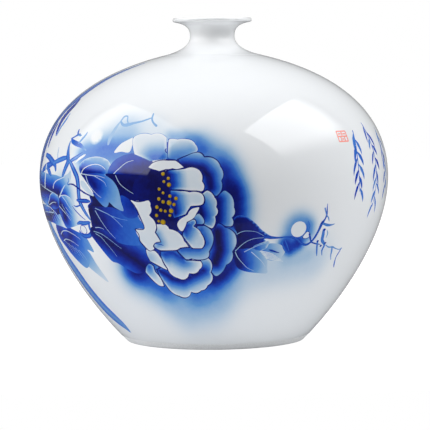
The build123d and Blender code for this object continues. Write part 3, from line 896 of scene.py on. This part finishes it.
def bare_clay(name, colour, roughness):
    finish, tree, surface = material(name, {"Roughness": roughness})
    place = add(tree, "ShaderNodeTexCoord")["Object"]
    grain = add(tree, "ShaderNodeTexNoise", {"Vector": place, "Scale": 900, "Detail": 3})["Fac"]
    bump = add(tree, "ShaderNodeBump", {"Strength": 0.3, "Distance": 0.0002, "Height": grain})
    mixed = ramped(tree, grain, ((0.3, tuple(0.88 * c for c in colour)), (0.7, colour)))
    feed(tree, surface, {"Base Color": mixed, "Normal": bump["Normal"]})
    return finish


painted_finish = glazed("painted_porcelain", cobalt_wash)
# The neck and rim glaze carries painted light: its white grows whiter up the neck.
white_finish = glazed("white_glaze", neck_painted_light)
bare_finish = bare_clay("bare_porcelain", (0.80, 0.81, 0.82), 0.75)
slip_finish = bare_clay("slip", (0.78, 0.77, 0.74), 0.8)
for name in ("foot_slip", "belly_slip", "shoulder_slip"):
    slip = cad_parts[name]
    slip.data.materials.clear()
    slip.data.materials.append(slip_finish)


# ---------------------------------------------------------------------------------------------
# The painted walls. The clay below and above the belly joint carries one continuous painting.
# The flat layout is cut along every painted edge, so each wash ends on a clean line, and then
# wrapped on the turned outline. Each wall is closed with its inside and its joint faces.
WRAP_START = -210.0
STEPS_ROUND = 360
STEPS_INSIDE = 180
CELL = 2.1
NARROW = 80

left_u = WRAP_START * ROUND
right_u = left_u + 360 * ROUND
bottom_v, seam_v, top_v = s_at(FOOT_JOINT), s_at(BELLY_JOINT), float(wall_s[-1])
rows_low = round((seam_v - bottom_v) / CELL)
rows_high = round((top_v - seam_v) / CELL)
rows = [bottom_v + (seam_v - bottom_v) * i / rows_low for i in range(rows_low + 1)]
rows += [seam_v + (top_v - seam_v) * i / rows_high for i in range(1, rows_high + 1)]
places = []
for v in rows:
    coarse = v not in (bottom_v, top_v) and np.interp(v, wall_s, outer_wall[:, 0]) <= NARROW
    for i in range(0, STEPS_ROUND + 1, 2 if coarse else 1):
        places.append(Vector((left_u + (right_u - left_u) * i / STEPS_ROUND, v)))

shapes = []
edges = []
for line, wash in painted:
    shapes.append(list(range(len(places), len(places) + len(line))))
    places += [Vector((float(p[0]), float(p[1]))) for p in line]
for line in guides + [((left_u, seam_v), (right_u, seam_v))]:
    edges += [(i, i + 1) for i in range(len(places), len(places) + len(line) - 1)]
    places += [Vector((float(p[0]), float(p[1]))) for p in line]
cut = delaunay_2d_cdt(places, edges, shapes, 0, 1e-4, True)
corners = np.array([(p[0], p[1]) for p in cut[0]])
triangles = np.array(cut[2])
shape = np.array([max(c) if c else -1 for c in cut[5]])
spread = corners[triangles]
doubled = np.cross(spread[:, 1] - spread[:, 0], spread[:, 2] - spread[:, 0])
triangles[doubled < 0] = triangles[doubled < 0][:, ::-1]
keep = np.abs(doubled) > 1e-7
triangles = triangles[keep]
shape = shape[keep]
cobalt = np.zeros(triangles.shape)
for index in np.unique(shape):
    mine = shape == index
    used, back = np.unique(triangles[mine], return_inverse=True)
    wash = ground if index < 0 else painted[index][1]
    cobalt[mine] = wash(corners[used])[back].reshape(-1, 3)
cobalt = np.clip(cobalt, 0, 1.1)


def settled(piece, slot, *nodes):
    """A finished piece rides the vase and may replace clay nodes, which it hides. The slot is not used."""
    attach(piece, "root")
    if nodes:
        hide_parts(*nodes)


def turn_of(v):
    return math.atan2(v.co.x, -v.co.y)


def edge_ring(work, level):
    return sorted((v for v in work.verts if v.is_boundary and abs(v.co.z - level) < 2e-6), key=turn_of)


def fan(work, ring, pole):
    for a, b in zip(ring, ring[1:] + ring[:1]):
        work.faces.new((a, b, pole))


def strip(work, first, second):
    """Triangles between two rings that are sorted by angle and may differ in count."""
    def after(ring, i):
        laps, place = divmod(i + 1, len(ring))
        return ring[place], turn_of(ring[place]) + 2 * math.pi * laps

    i = j = 0
    while i < len(first) or j < len(second):
        a, b = first[i % len(first)], second[j % len(second)]
        next_a, turn_a = after(first, i)
        next_b, turn_b = after(second, j)
        if j >= len(second) or (i < len(first) and turn_a <= turn_b):
            work.faces.new((a, next_a, b))
            i += 1
        else:
            work.faces.new((a, next_b, b))
            j += 1


def painted_wall(name, chosen, inside, upward, clay):
    """One wall: its painted outside, then rings from the far joint, round the inside, to the near joint."""
    used, back = np.unique(triangles[chosen], return_inverse=True)
    places = corners[used].copy()
    places[:, 0] = np.where(np.abs(places[:, 0] - right_u) < 1e-3, left_u, places[:, 0])
    points, normals = on_wall(places[:, 0], places[:, 1])
    work = bmesh.new()
    layer = work.loops.layers.float.new("cobalt")
    verts = [work.verts.new(tuple(p)) for p in points]
    for face, tones in zip(back.reshape(-1, 3), cobalt[chosen]):
        made = work.faces.new([verts[i] for i in face])
        for loop, tone in zip(made.loops, tones):
            loop[layer] = float(tone)
    outer_count = len(work.faces)
    bmesh.ops.remove_doubles(work, verts=work.verts, dist=2e-7)

    levels = sorted((float(points[:, 2].min()), float(points[:, 2].max())), reverse=upward)
    ring = edge_ring(work, levels[1])
    for radius, height in inside:
        if radius == 0:
            pole = work.verts.new((0, 0, height * MM))
            if ring:
                fan(work, ring, pole)
            ring = None
            continue
        fresh = []
        for i in range(STEPS_INSIDE):
            angle = -math.pi + 2 * math.pi * (i + 0.5) / STEPS_INSIDE
            spot = (radius * MM * math.sin(angle), -radius * MM * math.cos(angle), height * MM)
            fresh.append(work.verts.new(spot))
        if ring is None:
            fan(work, fresh, pole)
        else:
            strip(work, ring, fresh)
        ring = fresh
    strip(work, ring, edge_ring(work, levels[0]))
    bmesh.ops.recalc_face_normals(work, faces=work.faces)
    for face in work.faces:
        face.smooth = True
    mesh = bpy.data.meshes.new(name)
    work.to_mesh(mesh)
    work.free()

    # The outside takes its shading from the outline itself, so no cell of the layout shows.
    spots = np.empty(len(mesh.vertices) * 3)
    mesh.vertices.foreach_get("co", spots)
    spots = spots.reshape(-1, 3)
    turn = np.arctan2(spots[:, 0], -spots[:, 1])
    true_normals = turned_normals(turn, spots[:, 2] / MM, glazed_wall[:, 1])
    loops = np.zeros((len(mesh.loops), 3))
    for face in mesh.polygons[:outer_count]:
        for loop in face.loop_indices:
            loops[loop] = true_normals[mesh.loops[loop].vertex_index]
    mesh.normals_split_custom_set([tuple(n) for n in loops])
    mesh.materials.append(painted_finish)
    settled(placed(name, mesh), "painted_porcelain", clay)


FLOOR_TOP = 11.6
FLOOR_UNDER = 5.1
inner_low = inner_lower[inner_lower[:, 1] > 20.5]
fillet = bezier(inner_low[0], inner_low[0] - heading(46, 6), (60, FLOOR_TOP), (52, FLOOR_TOP), 8)
low_inside = [*inner_low[::-2], *fillet[1:], (26, FLOOR_TOP), (0, FLOOR_TOP), (0, FLOOR_UNDER),
              (30, FLOOR_UNDER), (60.9, FLOOR_UNDER), (60.9, FOOT_JOINT)]
middle_v = corners[triangles][:, :, 1].mean(axis=1)
painted_wall("lower_wall", middle_v < seam_v, low_inside, False, "lower_body")
painted_wall("upper_wall", middle_v > seam_v, inner_upper[::2], True, "upper_body")


# ---------------------------------------------------------------------------------------------
# The turned rings: the neck with its flat rim, in clear white glaze, and the bare foot ring.
# A node tree carries a closed section round the axis and gives it its finish.
def end_tree(group, shape, given, end, label):
    """Every tree ends as real, smooth mesh with its finish."""
    for kind in ("RealizeInstances", "SetShadeSmooth", "SetMaterial"):
        shape = add(group, "GeometryNode" + kind, {"Geometry": shape})["Geometry"]
    feed(group, shape.node, {"Material": given["Finish"]})
    feed(group, end, {label: shape})


ring_tree, given, end = node_group(
    "turned_ring", "GeometryNodeTree", ("Section", "INPUT", "Geometry", None),
    ("Steps Round", "INPUT", "Int", 128), ("Middle Radius", "INPUT", "Float", 0.02),
    ("Finish", "INPUT", "Material", None), ("Ring", "OUTPUT", "Geometry", None))
section = add(ring_tree, "GeometryNodeMeshToCurve", {"Mesh": given["Section"]})
path = add(ring_tree, "GeometryNodeCurvePrimitiveCircle", {"Resolution": given["Steps Round"],
                                                           "Radius": given["Middle Radius"]})
upright = add(ring_tree, "GeometryNodeSetCurveNormal", {"Curve": path["Curve"]}, mode="Z_UP")
sweep = add(ring_tree, "GeometryNodeCurveToMesh", {"Curve": upright["Curve"],
                                                   "Profile Curve": section["Curve"]})
end_tree(ring_tree, sweep["Mesh"], given, end, "Ring")


def run_tree(name, mesh, group, values):
    """A plain piece made by a node tree from a mesh, with the tree's named inputs set first."""
    maker = placed(name + "_maker", mesh)
    modifier = maker.modifiers.new("tree", "NODES")
    modifier.node_group = group
    for item in group.interface.items_tree:
        if item.in_out == "INPUT" and item.name in values:
            modifier[item.identifier] = values[item.name]
    ready = maker.evaluated_get(bpy.context.evaluated_depsgraph_get())
    made = bpy.data.meshes.new_from_object(ready)
    made.materials.clear()
    made.materials.append(values["Finish"])
    bpy.data.objects.remove(maker)
    return placed(name, made)


def turned(name, loop, steps, middle, finish, slot, clay):
    """A ring turned from a closed loop of (radius, height) in mm."""
    section = bpy.data.meshes.new(name + "_section")
    spots = [((r - middle) * MM, -z * MM, 0) for r, z in loop]
    section.from_pydata(spots, [(i, (i + 1) % len(spots)) for i in range(len(spots))], [])
    piece = run_tree(name, section, ring_tree, {"Steps Round": steps, "Middle Radius": middle * MM,
                                                "Finish": finish})
    work = bmesh.new()
    work.from_mesh(piece.data)
    bmesh.ops.remove_doubles(work, verts=work.verts, dist=1e-7)
    bmesh.ops.recalc_face_normals(work, faces=work.faces)
    work.to_mesh(piece.data)
    work.free()
    settled(piece, slot, clay)


RIM_HALF = 1.5
rim_edge = np.array((28.0, 238.5))
rim_under = rim_edge + heading(-80, RIM_HALF)
outer_neck = bezier(SHOULDER, SHOULDER + heading(SHOULDER_SLOPE, 13), (16.5, 220), (16.5, 226.5), 30)
under_rim = bezier((16.5, 226.5), (16.5, 233), rim_under - heading(10, 8.5), rim_under, 24)
rim_round = np.array([rim_edge + heading(a, RIM_HALF) for a in np.linspace(-80, 90, 14)])
mouth = bezier((28, 240), (19.5, 240), (13.4, 236.5), (13.4, 230), 24)
throat = np.array(((13.4, 230), (13.4, 225), (13.4, 219)))
neck_inside = shoulder_inside + heading(SHOULDER_SLOPE, 13)
inner_neck = bezier((13.4, 219), (13.4, 212.5), neck_inside, shoulder_inside, 24)
outside = joined(outer_neck, under_rim, rim_round)
proud = GLAZE * np.linspace(1, 0, len(outside))[:, None]
outside = outside - proud * left_of(np.gradient(outside, axis=0))
outside[0] = glazed_wall[-1]
inside = joined(mouth, throat, inner_neck)
joint = [inside[-1] + (outside[0] - inside[-1]) * t for t in (0.02, 0.5, 0.98)]
turned("neck_and_rim", [*outside, *inside[1:], *joint], 144, 20, white_finish, "white_glaze", "neck")

# The foot ring's outside bevel meets the slip, and its lower part is left bare.
rise = outer_lower[outer_lower[:, 1] < FOOT_JOINT][2::3]
joint_radius = float(np.interp(FOOT_JOINT, glazed_wall[:, 1], glazed_wall[:, 0]))
foot_loop = [(61.0, 0.3), (61.3, 0), (66.4, 0), (66.6, 0.02), (68.0, 1.4), *rise, (joint_radius, FOOT_JOINT),
             (64.0, FOOT_JOINT), (61.0, FOOT_JOINT)]
turned("foot_ring_bare", foot_loop, 180, 62, bare_finish, "bare_porcelain", "foot_ring")


# ---------------------------------------------------------------------------------------------
# The stamens: small raised domes of yellow enamel, each with a darker rim where it pooled.
# A node tree stands one dome on each chosen spot, square to the wall, with its own size.
def enamel(name, colour, edge):
    def pooled(tree):
        thin = add(tree, "ShaderNodeAttribute", attribute_name="thin")["Fac"]
        return ramped(tree, thin, ((0.15, colour), (0.9, edge)))

    return glazed(name, pooled, 0.25, 0.8)


yellow_finish = enamel("yellow_enamel", (0.50, 0.31, 0.006), (0.05, 0.04, 0.02))
red_finish = enamel("red_enamel", (0.93, 0.30, 0.25), (0.93, 0.42, 0.36))

stamens = [(-15.6, 130.2, 1), (-13.9, 127.2, 0.9), (-15.3, 125, 0.9), (-13.7, 122.8, 1.3),
    (-16.8, 119.8, 0.8), (-15.6, 117.2, 0.9), (-13.5, 115, 1), (-11.6, 113.4, 1), (-17, 113, 1.1),
    (-15.7, 111, 0.9), (-13.8, 110.4, 1.4), (-12.3, 109.2, 0.9), (-17.8, 107.3, 1), (-16.6, 105.2, 1),
    (-15.2, 104.6, 0.8), (-13.3, 104.8, 1.2), (-18.1, 101.5, 0.9), (-13.8, 101.6, 0.9), (-16.2, 96.8, 1.4),
    (-17.6, 97.5, 0.8)]


def dome_mesh(radius, height, rings=4, around=14):
    work = bmesh.new()
    thin = work.verts.layers.float.new("thin")
    last = None
    for k in range(rings + 1):
        rise = k / rings * math.pi / 2
        wide = radius * math.cos(rise * 0.86)
        ring = []
        for turn in (2 * math.pi * i / around for i in range(around)):
            spot = (wide * math.cos(turn), wide * math.sin(turn), height * math.sin(rise))
            ring.append(work.verts.new(spot))
            ring[-1][thin] = 1 - k / rings
        if last:
            for i in range(around):
                work.faces.new((last[i], last[(i + 1) % around], ring[(i + 1) % around], ring[i]))
        else:
            work.faces.new(ring[::-1])
        last = ring
    work.faces.new(last)
    mesh = bpy.data.meshes.new("dome")
    work.to_mesh(mesh)
    work.free()
    return mesh


dome_tree, given, end = node_group(
    "enamel_domes", "GeometryNodeTree", ("Spots", "INPUT", "Geometry", None),
    ("Dome", "INPUT", "Object", None), ("Seed", "INPUT", "Int", None),
    ("Finish", "INPUT", "Material", None), ("Domes", "OUTPUT", "Geometry", None))
outward = add(dome_tree, "GeometryNodeInputNamedAttribute", {"Name": "facing"}, data_type="FLOAT_VECTOR")
turn = add(dome_tree, "FunctionNodeAlignRotationToVector", {"Vector": outward["Attribute"]}, axis="Z")
pattern = add(dome_tree, "GeometryNodeObjectInfo", {"Object": given["Dome"]})
size = add(dome_tree, "GeometryNodeInputNamedAttribute", {"Name": "size"})
chance = add(dome_tree, "FunctionNodeRandomValue", {2: 0.9, 3: 1.12, "Seed": given["Seed"]})
scale = add(dome_tree, "ShaderNodeMath", {0: size["Attribute"], 1: chance[1]}, operation="MULTIPLY")
stood = add(dome_tree, "GeometryNodeInstanceOnPoints", {
    "Points": given["Spots"], "Instance": pattern["Geometry"], "Rotation": turn["Rotation"],
    "Scale": scale[0]})
end_tree(dome_tree, stood["Instances"], given, end, "Domes")

stamens += far_side(stamens)
spots = np.array([flat(s[0], s[1]) for s in stamens])
points, normals = on_wall(spots[:, 0], spots[:, 1])
spot_mesh = bpy.data.meshes.new("stamen_spots")
spot_mesh.from_pydata([tuple(p - n * 0.12 * MM) for p, n in zip(points, normals)], [], [])
spot_mesh.attributes.new("facing", "FLOAT_VECTOR", "POINT").data.foreach_set("vector", normals.ravel())
spot_mesh.attributes.new("size", "FLOAT", "POINT").data.foreach_set("value", [s[2] for s in stamens])
one_dome = placed("dome_pattern", dome_mesh(1.4 * MM, 0.45 * MM))
values = {"Dome": one_dome, "Seed": 7, "Finish": yellow_finish}
settled(run_tree("stamen_enamel", spot_mesh, dome_tree, values), "yellow_enamel")
bpy.data.objects.remove(one_dome)


# ---------------------------------------------------------------------------------------------
# The red mark: a small square lattice in thin red enamel, a frame with plain bars and squares.
# Each bar is a low raised strip that follows the wall.
BAR = 1.1
BAR_SIDES = ((1, -0.1), (0.8, 0.12), (-0.8, 0.12), (-1, -0.1))
lattice = bmesh.new()
layer = lattice.verts.layers.float.new("thin")


def bar(a, b):
    """A raised strip on the wall between two (degrees, mm up) marks."""
    start, stop = flat(*a), flat(*b)
    along = stop - start
    length = np.linalg.norm(along)
    side = np.array((-along[1], along[0])) / length * BAR / 2
    count = max(2, round(length / 1.2))
    lines = []
    for offset, lift in BAR_SIDES:
        line = []
        for i in range(count + 1):
            spot = start + along * i / count + side * offset
            p, n = on_wall(spot[0], spot[1])
            line.append(lattice.verts.new(tuple(p + n * lift * MM)))
            line[-1][layer] = 0.2 if lift > 0 else 1.0
        lines.append(line)
    for one, two in zip(lines, lines[1:] + lines[:1]):
        for i in range(count):
            lattice.faces.new((one[i], two[i], two[i + 1], one[i + 1]))
    lattice.faces.new([line[0] for line in lines][::-1])
    lattice.faces.new([line[-1] for line in lines])


left, right, low, high = 45.2, 49.8, 149.9, 157.0
for a, b in (((left, low), (right, low)), ((left, high), (right, high)), ((left, low), (left, high)),
             ((right, low), (right, high)), ((left, 153.4), (right, 153.4)), ((47.5, 153.9), (47.5, high)),
             ((46.6, low), (46.6, 152.9)), ((48.4, low), (48.4, 152.9)), ((45.7, 155.2), (47.0, 155.2)),
             ((48.0, 155.2), (49.3, 155.2)), ((47.1, 151.6), (47.9, 151.6))):
    bar(a, b)
bmesh.ops.recalc_face_normals(lattice, faces=lattice.faces)
lattice_mesh = bpy.data.meshes.new("red_lattice")
lattice.to_mesh(lattice_mesh)
lattice.free()
lattice_mesh.materials.append(red_finish)
settled(placed("red_lattice", lattice_mesh), "red_enamel")
